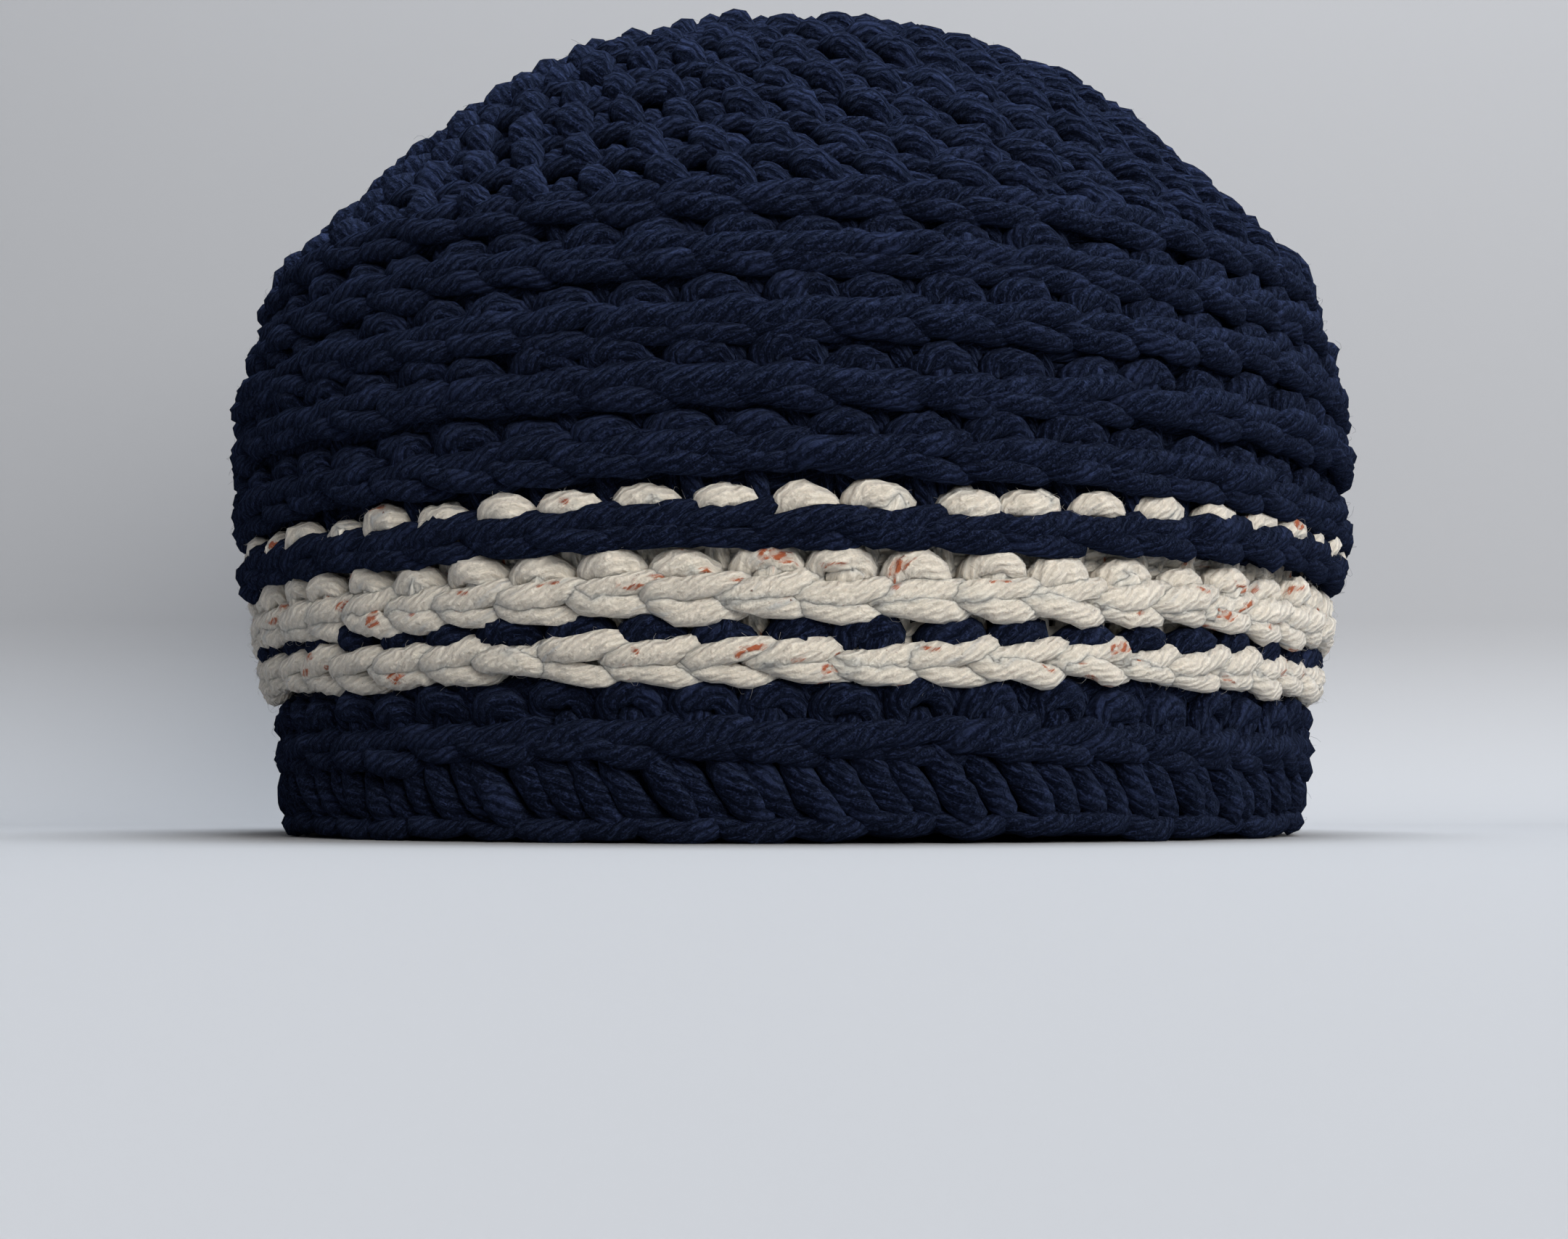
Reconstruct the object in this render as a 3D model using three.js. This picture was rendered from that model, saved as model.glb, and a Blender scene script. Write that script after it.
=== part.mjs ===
// A crochet beanie: an oval cap of chunky crochet rounds, closed at the crown and open at the hem.
// The lower rounds each carry a chain that lies outside as a ridge, and the crown's rounds are
// almost smooth. Two rounds near the hem, and the row of loops above them, are in a second yarn.
// Units are millimetres and +Z is up. The origin is the middle of the hem's underside.

import * as THREE from 'three';

// Driving dimensions.
const OUTER_WIDTH = 188;
const DEPTH_OVER_WIDTH = 1.07;
const ROUND_PITCH = 9.4;
const RIDGED_ROUNDS = 10;
const CROWN_ROUNDS = 11;
const WALL = 7;
const RIDGE_RISE = 2.8;
const CROWN_RISE = 1.2;
const CHAIN_HEIGHT = 6.6;
const HEM_EDGE = 3.7;
const GAP = 0.3;
const SIDES = 48;

// The hem's underside is flat between these two distances from the outside and the inside.
const HEM_OUTER_ROUNDING = 2;
const HEM_INNER_ROUNDING = 1.2;

// The outline from the crown's centre down to the hem. `along` is the distance over the cloth and
// `lean` is its angle from upright in degrees, positive where it closes in towards the top.
const OUTLINE = [
  { along: 0, lean: 90 },
  { along: 30, lean: 80 },
  { along: 45, lean: 68 },
  { along: 60, lean: 52 },
  { along: 75, lean: 45 },
  { along: 88, lean: 44 },
  { along: 98, lean: 48 },
  { along: 108, lean: 16 },
  { along: 120, lean: 13 },
  { along: 135, lean: 0 },
  { along: 150, lean: -10 },
  { along: 165, lean: -14 },
  { along: 180, lean: -9 },
  { along: 195, lean: -5 },
];

// Steps of a ridge's section across one round, as fractions of half a round from the ridge.
const RIDGE_STEPS = [-0.7, -0.3, 0.3, 0.7, 1];
const CROWN_STEPS = [0, 1];
const RIDGE_SHARPNESS = 2.2;

const HALF_PITCH = ROUND_PITCH / 2;
const HALF_CHAIN = CHAIN_HEIGHT / 2;

const YARNS = {
  navy: new THREE.MeshStandardMaterial({ name: 'navy_yarn', color: 0x262d47, roughness: 0.95 }),
  oatmeal: new THREE.MeshStandardMaterial({ name: 'oatmeal_yarn', color: 0xc9c1b3, roughness: 0.95 }),
};

// The outside face that touches every ridge, as points one step apart from the crown to the hem.
function traceOutline() {
  const step = 0.5;
  const points = [{ r: 0, z: 0, lean: OUTLINE[0].lean }];
  for (let row = 1; row < OUTLINE.length; row += 1) {
    const above = OUTLINE[row - 1];
    const below = OUTLINE[row];
    const count = Math.round((below.along - above.along) / step);
    for (let i = 1; i <= count; i += 1) {
      const last = points[points.length - 1];
      const lean = THREE.MathUtils.lerp(above.lean, below.lean, i / count);
      const middle = THREE.MathUtils.degToRad((last.lean + lean) / 2);
      points.push({ r: last.r + step * Math.sin(middle), z: last.z - step * Math.cos(middle), lean });
    }
  }
  const scale = OUTER_WIDTH / 2 / Math.max(...points.map((point) => point.r));
  const hem = points[points.length - 1].z;
  const scaled = points.map(({ r, z, lean }) => ({ r: r * scale, z: (z - hem) * scale, lean }));
  return { step: step * scale, points: scaled.reverse() };
}

const outline = traceOutline();
const CLOTH_LENGTH = outline.step * (outline.points.length - 1);

// A point of the cloth's section: `up` along the outside from the hem, `depth` in from it.
function clothPoint(up, depth) {
  const position = THREE.MathUtils.clamp(up / outline.step, 0, outline.points.length - 1.001);
  const index = Math.floor(position);
  const share = position - index;
  const low = outline.points[index];
  const high = outline.points[index + 1];
  const lean = THREE.MathUtils.degToRad(THREE.MathUtils.lerp(low.lean, high.lean, share));
  const r = THREE.MathUtils.lerp(low.r, high.r, share) - depth * Math.cos(lean);
  const z = THREE.MathUtils.lerp(low.z, high.z, share) - depth * Math.sin(lean);
  return new THREE.Vector2(r, z);
}

// Ridges are counted from the hem, where the first is number 0.
const ridgeAt = (ridge) => HEM_EDGE + ridge * ROUND_PITCH;
const valleyAbove = (ridge) => ridgeAt(ridge) + HALF_PITCH;
const TOP_RIDGE = RIDGED_ROUNDS - 1;
const CROWN_PITCH = (CLOTH_LENGTH - ridgeAt(TOP_RIDGE)) / (CROWN_ROUNDS + 0.5);

// How far the outside lies in from the outline at a distance up from the hem.
function relief(up) {
  const inCrown = up > valleyAbove(TOP_RIDGE);
  const pitch = inCrown ? CROWN_PITCH : ROUND_PITCH;
  const first = inCrown ? ridgeAt(TOP_RIDGE) : ridgeAt(0);
  const rounds = (up - first) / pitch;
  const offRidge = Math.abs(rounds - Math.round(rounds)) * 2;
  const rise = inCrown ? CROWN_RISE : RIDGE_RISE;
  return rise * offRidge ** RIDGE_SHARPNESS;
}

// The distances up from the hem at which the outside's section turns.
function outsideStations() {
  const stations = [];
  for (let ridge = 0; ridge < RIDGED_ROUNDS; ridge += 1) {
    for (const step of RIDGE_STEPS) {
      stations.push(ridgeAt(ridge) + step * HALF_PITCH);
    }
  }
  for (let round = 1; round <= CROWN_ROUNDS; round += 1) {
    for (const step of CROWN_STEPS) {
      stations.push(ridgeAt(TOP_RIDGE) + (round + step / 2) * CROWN_PITCH);
    }
  }
  return stations;
}

const STATIONS = outsideStations();
const INSIDE_STATIONS = Array.from({ length: RIDGED_ROUNDS + CROWN_ROUNDS }, (_, i) => valleyAbove(i));

// The stations strictly between two ends of a band.
function between(stations, low, high) {
  const clearance = 0.4;
  return stations.filter((up) => up > low + clearance && up < high - clearance);
}

// The outside of a band from its low end to its high end.
function outsideFace(low, high) {
  const ups = [low, ...between(STATIONS, low, high), high];
  return ups.map((up) => clothPoint(up, relief(up)));
}

// The inside of a band from its high end down to its low end.
function insideFace(low, high) {
  const ups = [low, ...between(INSIDE_STATIONS, low, high), high];
  return ups.reverse().map((up) => clothPoint(up, WALL));
}

// A closed section that runs round the hat.
function ringSection(low, high) {
  const loop = [...outsideFace(low, high), ...insideFace(low, high)];
  return [...loop, loop[0].clone()];
}

// The hem's section has a flat underside with a rounded edge on each side.
function hemSection(high) {
  const outer = new THREE.Vector2(clothPoint(0, HEM_OUTER_ROUNDING).x, 0);
  const inner = new THREE.Vector2(clothPoint(0, WALL - HEM_INNER_ROUNDING).x, 0);
  const outside = outsideFace(RIDGE_STEPS[0] * HALF_PITCH + HEM_EDGE, high);
  const inside = insideFace(HEM_INNER_ROUNDING, high);
  const loop = [outer, ...outside, ...inside, inner];
  return [...loop, loop[0].clone()];
}

// The crown's section starts and ends on the axis, because the crown closes there.
function crownSection(low) {
  const inside = insideFace(low, CLOTH_LENGTH);
  const outside = outsideFace(low, CLOTH_LENGTH);
  inside[0].x = 0;
  outside[outside.length - 1].x = 0;
  return [...inside, ...outside];
}

// The bands from the hem up. Each ends in the valley between two rounds, or beside a chain where
// the yarn changes there.
const chainFoot = (ridge) => ridgeAt(ridge) - HALF_CHAIN;
const chainHead = (ridge) => ridgeAt(ridge) + HALF_CHAIN;

const BANDS = [
  { name: 'hem_round', yarn: 'navy', low: 0, high: valleyAbove(0) },
  { name: 'lower_wall', yarn: 'navy', low: valleyAbove(0), high: chainFoot(2) },
  { name: 'lower_stripe', yarn: 'oatmeal', low: chainFoot(2), high: chainHead(2) },
  { name: 'stripe_gap', yarn: 'navy', low: chainHead(2), high: chainFoot(3) },
  { name: 'upper_stripe', yarn: 'oatmeal', low: chainFoot(3), high: chainFoot(4) },
  { name: 'border_round', yarn: 'navy', low: chainFoot(4), high: chainHead(4) },
  { name: 'dash_round', yarn: 'oatmeal', low: chainHead(4), high: chainFoot(5) },
  { name: 'upper_wall', yarn: 'navy', low: chainFoot(5), high: valleyAbove(TOP_RIDGE - 1) },
  { name: 'crown', yarn: 'navy', low: valleyAbove(TOP_RIDGE - 1), high: CLOTH_LENGTH },
];

function bandSection({ name, low, high }) {
  if (name === 'hem_round') {
    return hemSection(high - GAP / 2);
  }
  if (name === 'crown') {
    return crownSection(low + GAP / 2);
  }
  return ringSection(low + GAP / 2, high - GAP / 2);
}

// Turns a section round the hat's axis, stretches it to the oval and stands it upright.
function bandMesh(band) {
  const geometry = new THREE.LatheGeometry(bandSection(band), SIDES);
  geometry.rotateX(Math.PI / 2);
  geometry.scale(1, DEPTH_OVER_WIDTH, 1);
  const mesh = new THREE.Mesh(geometry, YARNS[band.yarn]);
  mesh.name = band.name;
  return mesh;
}

const beanie = new THREE.Group();
for (const band of BANDS) {
  beanie.add(bandMesh(band));
}

export default beanie;
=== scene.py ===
"""A crochet beanie, dressed in yarn.

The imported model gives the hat's size and its bands. This script lays every stitch over that form
as swept strands of plied yarn: the chains that stand out as ridges, the loops that peep out above
them, the posts between, the plain rounds of the crown and the bars of the inside. Loose fibres,
the studio and the camera follow. Stitch tables are in millimetres, and Blender's objects in metres.
"""

import math
from typing import Callable, NamedTuple

import bpy
import numpy as np
from bpy.props import FloatProperty, FloatVectorProperty, IntProperty, PointerProperty
from mathutils import Euler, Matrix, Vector


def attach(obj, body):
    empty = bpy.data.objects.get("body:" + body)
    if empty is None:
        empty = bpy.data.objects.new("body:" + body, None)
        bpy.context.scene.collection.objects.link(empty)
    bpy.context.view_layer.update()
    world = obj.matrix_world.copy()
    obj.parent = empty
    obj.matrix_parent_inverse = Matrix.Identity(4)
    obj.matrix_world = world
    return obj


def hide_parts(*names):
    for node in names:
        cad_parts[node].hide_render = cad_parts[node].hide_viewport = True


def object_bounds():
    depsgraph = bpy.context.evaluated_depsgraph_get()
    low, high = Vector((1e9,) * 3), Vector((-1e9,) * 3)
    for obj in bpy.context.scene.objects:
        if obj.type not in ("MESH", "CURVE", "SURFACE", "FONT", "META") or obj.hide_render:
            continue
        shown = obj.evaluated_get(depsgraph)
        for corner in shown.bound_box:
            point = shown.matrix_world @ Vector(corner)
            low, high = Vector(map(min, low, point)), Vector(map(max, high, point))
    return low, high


bl_info = {
    "name": "Crochet Beanie",
    "version": (1, 0, 0),
    "blender": (4, 5, 0),
    "location": "View3D > Sidebar > Beanie",
    "description": "Builds a striped crochet beanie from swept yarn, with its studio",
    "category": "Object",
}

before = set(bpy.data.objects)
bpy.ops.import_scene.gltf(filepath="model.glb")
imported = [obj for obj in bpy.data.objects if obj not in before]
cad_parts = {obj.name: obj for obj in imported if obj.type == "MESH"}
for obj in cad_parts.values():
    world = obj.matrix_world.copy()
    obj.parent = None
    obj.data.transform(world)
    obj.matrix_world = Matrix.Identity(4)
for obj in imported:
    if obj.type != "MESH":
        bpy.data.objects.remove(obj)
CAD_LOW, CAD_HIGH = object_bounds()

MM = 0.001

# The hat's rounds. Ridges are counted up from the hem, where the first is number 0.
ROUND_PITCH = 9.4
HEM_EDGE = 3.7
RIDGED_ROUNDS = 10
TOP_RIDGE = RIDGED_ROUNDS - 1
CROWN_ROUNDS = 11

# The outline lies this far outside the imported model, whose ridges have flat facets.
OUTLINE_MARGIN = 0.2

# How far some ridges lie above their even places, in millimetres.
RIDGE_SHIFT = {1: 0.1, 2: 1.1, 5: 0.5, 6: -0.2, 9: -1.0}

# How tall the loops above some ridges are, beside those above the others.
LOOP_STRETCH = {1: 1.20, 4: 0.76}

# The ridges beside the dashes draw together on the +X side, this many millimetres each, which
# hides the dashes there.
GATHER = {4: 1.0, 5: -1.3}
GATHER_CENTRE = math.radians(84)
GATHER_REACH = math.radians(58)
GATHER_SINK = 1.5

# The dashes sink a little on the -X side too, where the rounds keep their places.
FADE_CENTRE = math.radians(-76)
FADE_REACH = math.radians(52)
FADE_SINK = 0.9

# A nearness stays at its full value over the middle of its reach, by rising past it.
NEARNESS_RISE = 1.25

# A ridge's wandering: waves round the hat, their share, and how their start turns by round.
WANDER_WAVES = ((2, 0.55, 1.0), (3, 0.35, -2.1), (7, 0.25, 3.3))
WANDER_TURN = 1.7
HEM_CALM = 0.25
CROWN_CALM = 0.6

# How the first stitches of the rounds are staggered: a drift, a sway and the sway's rate.
WALL_STAGGER = (0.37, 0.21, 5.3)
CROWN_STAGGER = (0.43, 0.3, 3.1)

# The yarn within the cloth: its thickness beside the strands', its spacing and its depth.
CORE_GIRTH = 0.76
CORE_SPACING = 1.25
CORE_OUT = -5.9

# Posts that lie nearer the outside are thicker.
POST_GIRTH = 0.84
POST_GIRTH_GAIN = 0.2

# The ring behind the posts: how far up its round, as a share of it, how far out, and its girth.
BACKING_UP = 0.76
BACKING_OUT = -4.6
BACKING_GIRTH = 0.95

# The rings behind the crown's strands: how far up their round, and how far out.
CROWN_BACKING_UPS = (0.25, 0.62)
CROWN_BACKING_OUT = -3.9

# How the crown's sunken strands differ from the slanting ones beside them.
CROWN_SUNKEN = {"across": 0.46, "out": -1.5, "girth": 0.86}

# The rounds of the crown's edge, and how the crown's strands thin out towards its centre.
EDGE_ROUNDS = 3
PLUMP_GAIN = 0.45

# The rounds' core ends this far from the crown's centre.
CORE_CLEARANCE = 5

# The rings that close the crown's centre: the distance from it, how far out, girth and points.
CENTRE_RINGS = ((3.4, -2.6, 1.0, 24), (1.3, -2.2, 0.9, 16))

# The centre's own core: its rings' distances from the centre, and its depth.
CENTRE_CORE = np.array([4.2, 2.4, 1.0])
CENTRE_CORE_OUT = -5.7

# The outline from the crown's centre to the hem: distance along the cloth, and lean from upright.
OUTLINE_ALONG = (0, 30, 45, 60, 75, 88, 98, 108, 120, 135, 150, 165, 180, 195)
OUTLINE_LEAN = (90, 80, 68, 52, 45, 44, 48, 16, 13, 0, -10, -14, -9, -5)


class Cloth:
    """The outside of the hat as a surface: an angle round it, and a distance up from the hem."""

    STEP = 0.25
    NARROWEST = 0.05

    def __init__(self, width, depth):
        step = self.STEP
        along = np.arange(0, OUTLINE_ALONG[-1] + step / 2, step)
        lean = np.radians(np.interp(along, OUTLINE_ALONG, OUTLINE_LEAN))
        middle = (lean[1:] + lean[:-1]) / 2
        radius = np.concatenate([[0], np.cumsum(step * np.sin(middle))])
        drop = np.concatenate([[0], np.cumsum(step * np.cos(middle))])
        scale = width / 2 / radius.max()
        self.oval = depth / width
        self.up = ((along[-1] - along) * scale)[::-1]
        self.radius = (radius * scale)[::-1]
        self.height = ((drop[-1] - drop) * scale)[::-1]
        self.lean = lean[::-1]
        self.length = self.up[-1]

    def point(self, angle, up, out):
        """Points in millimetres, this far `out` of the outline, or in from it if negative."""
        lean = np.interp(up, self.up, self.lean)
        radius = np.interp(up, self.up, self.radius) + out * np.cos(lean)
        height = np.interp(up, self.up, self.height) + out * np.sin(lean)
        radius = np.maximum(radius, self.NARROWEST)
        flat = (radius * np.sin(angle), -self.oval * radius * np.cos(angle))
        return np.stack([*flat, height], axis=-1)

    def normal(self, angle, up):
        """The unit vectors that point out of the cloth."""
        lean = np.interp(up, self.up, self.lean)
        across, ahead = self.oval * np.sin(angle), -np.cos(angle)
        size = np.hypot(across, ahead)
        flat = (across / size * np.cos(lean), ahead / size * np.cos(lean))
        return np.stack([*flat, np.sin(lean)], axis=-1)

    def ridge(self, number):
        """How far up the cloth a ridge lies, and above the last ridge, a round of the crown."""
        last = HEM_EDGE + TOP_RIDGE * ROUND_PITCH
        crown_pitch = (self.length - last) / (CROWN_ROUNDS + 0.5)
        if number > TOP_RIDGE:
            return last + (number - TOP_RIDGE) * crown_pitch
        return HEM_EDGE + number * ROUND_PITCH + RIDGE_SHIFT.get(number, 0)


def measured_cloth():
    """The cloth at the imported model's width and depth."""
    width, depth = ((CAD_HIGH - CAD_LOW) / MM)[:2]
    return Cloth(width + 2 * OUTLINE_MARGIN, depth + 2 * OUTLINE_MARGIN * depth / width)


# ------------------------------------------------------------------------------- strands of yarn


class Knot(NamedTuple):
    """A place that a strand passes: `across` in stitch widths, `up` and `out` in millimetres.

    `girth` is the thickness there, beside the yarn's own.
    """

    across: float
    up: float
    out: float
    girth: float = 1.0


CHAIN_UPPER_ARM = (
    Knot(-0.16, 0.00, -4.4, 0.85),
    Knot(-0.05, 0.12, -2.8, 0.96),
    Knot(0.07, 0.35, -2.0, 1.06),
    Knot(0.24, 0.68, -1.65, 1.14),
    Knot(0.45, 0.95, -1.60, 1.18),
    Knot(0.68, 1.25, -1.65, 1.15),
    Knot(0.90, 1.65, -1.85, 1.05),
    Knot(1.07, 1.90, -2.35, 0.98),
    Knot(1.20, 1.90, -3.1, 0.92),
    Knot(1.29, 1.50, -4.4, 0.82),
)
CHAIN_LOWER_ARM = (
    Knot(-0.16, -0.10, -4.5, 0.85),
    Knot(-0.05, -0.22, -2.9, 0.96),
    Knot(0.07, -0.45, -2.1, 1.04),
    Knot(0.24, -0.78, -1.75, 1.12),
    Knot(0.45, -1.10, -1.70, 1.15),
    Knot(0.68, -1.38, -1.8, 1.11),
    Knot(0.90, -1.62, -2.1, 1.03),
    Knot(1.06, -1.65, -2.65, 0.97),
    Knot(1.17, -1.40, -3.4, 0.90),
    Knot(1.23, -0.90, -4.5, 0.82),
)
PEEPING_LOOP = (
    Knot(0.26, 0.6, -5.0, 1.00),
    Knot(0.19, 2.3, -3.9, 1.10),
    Knot(0.24, 3.8, -3.2, 1.22),
    Knot(0.42, 4.60, -2.8, 1.33),
    Knot(0.65, 4.50, -2.9, 1.30),
    Knot(0.83, 3.5, -3.6, 1.14),
    Knot(0.84, 1.0, -5.0, 0.98),
)
LOOP_FILLING = (
    Knot(0.46, 0.5, -4.6, 1.05),
    Knot(0.48, 1.9, -3.5, 1.45),
    Knot(0.56, 3.1, -3.35, 1.45),
    Knot(0.60, 4.0, -4.6, 1.00),
)
POST = (
    Knot(0.90, 9.3, -6.3, 0.80),
    Knot(0.95, 7.0, -5.7, 0.92),
    Knot(1.01, 4.2, -5.5, 0.95),
    Knot(1.05, 1.4, -5.9, 0.85),
)
HEM_FRONT_LOOP = (
    Knot(-0.14, -0.9, -3.6, 0.80),
    Knot(0.10, -1.6, -2.3, 0.95),
    Knot(0.42, -1.95, -1.75, 1.04),
    Knot(0.74, -1.85, -1.85, 1.02),
    Knot(0.98, -1.3, -2.7, 0.92),
    Knot(1.12, -0.6, -3.9, 0.80),
)
HEM_BACK_LOOP = (
    Knot(-0.14, -0.7, -3.8, 0.80),
    Knot(0.10, -1.5, -4.5, 0.95),
    Knot(0.42, -1.9, -5.1, 1.02),
    Knot(0.74, -1.8, -5.1, 1.02),
    Knot(0.98, -1.2, -4.6, 0.92),
    Knot(1.12, -0.6, -3.8, 0.80),
)
HEM_FRONT_POST = (
    Knot(-0.12, 9.0, -5.0, 1.00),
    Knot(-0.04, 7.2, -3.6, 1.16),
    Knot(0.08, 5.3, -2.6, 1.34),
    Knot(0.22, 3.3, -2.25, 1.45),
    Knot(0.38, 1.4, -2.35, 1.40),
    Knot(0.54, -0.2, -3.1, 1.18),
    Knot(0.62, -1.1, -4.4, 0.90),
)
HEM_SIDE_POST = (
    Knot(0.28, 9.0, -5.1, 1.00),
    Knot(0.36, 7.2, -3.8, 1.14),
    Knot(0.48, 5.3, -2.8, 1.30),
    Knot(0.62, 3.3, -2.45, 1.40),
    Knot(0.78, 1.4, -2.5, 1.36),
    Knot(0.94, -0.2, -3.2, 1.16),
    Knot(1.02, -1.1, -4.5, 0.90),
)
INSIDE_BAR = (
    Knot(-0.08, 2.2, -5.5, 0.75),
    Knot(0.16, 2.9, -5.9, 0.82),
    Knot(0.50, 3.1, -6.0, 0.86),
    Knot(0.84, 2.9, -5.9, 0.82),
    Knot(1.08, 2.2, -5.5, 0.75),
)
INSIDE_LEG = (
    Knot(0.30, 1.4, -5.6, 0.80),
    Knot(0.33, 3.6, -5.9, 0.86),
    Knot(0.40, 6.4, -5.9, 0.86),
    Knot(0.46, 8.8, -5.6, 0.80),
)

# The crown's strands, whose `up` is a share of their round's height.
CROWN_SLANT = (
    Knot(-0.02, 1.10, -5.0, 0.90),
    Knot(0.04, 0.92, -3.5, 1.20),
    Knot(0.15, 0.70, -2.2, 1.46),
    Knot(0.30, 0.44, -1.75, 1.56),
    Knot(0.45, 0.20, -2.5, 1.36),
    Knot(0.55, 0.00, -4.6, 0.95),
)
CROWN_ARM = (
    Knot(-0.12, 0.90, -4.0, 0.80),
    Knot(0.25, 0.99, -2.45, 1.04),
    Knot(0.75, 1.03, -2.3, 1.06),
    Knot(1.12, 0.94, -3.9, 0.80),
)
CROWN_BAR = (
    Knot(-0.08, 0.20, -4.8, 0.75),
    Knot(0.50, 0.25, -5.9, 0.82),
    Knot(1.08, 0.20, -4.8, 0.75),
)


def adjusted(knots, across=0.0, tall=1.0, out=0.0, girth=1.0):
    """The same knots moved across or out, stretched upwards or thickened."""
    return [Knot(k.across + across, k.up * tall, k.out + out, k.girth * girth) for k in knots]


def smooth(knots, count):
    """A Catmull-Rom curve through the knots, as `count` rows of across, up, out and girth."""
    rows = np.array(knots, float)
    padded = np.vstack([2 * rows[0] - rows[1], rows, 2 * rows[-1] - rows[-2]])
    at = np.linspace(0, len(rows) - 1, count)
    index = np.minimum(at.astype(int), len(rows) - 2)
    share = (at - index)[:, None]
    before, start, end, after = (padded[index + i] for i in range(4))
    straight = 2 * start + (end - before) * share
    bend = (2 * before - 5 * start + 4 * end - after) * share**2
    twist = (3 * start - before - 3 * end + after) * share**3
    return (straight + bend + twist) / 2


class Places(NamedTuple):
    """Where one round's stitches start: their angles, their width and their heights."""

    angle: np.ndarray
    width: float
    base: np.ndarray

    def moved(self, stitches, up=0.0):
        """The same places some stitches further round, and higher."""
        return self._replace(angle=self.angle + stitches * self.width, base=self.base + up)


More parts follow.
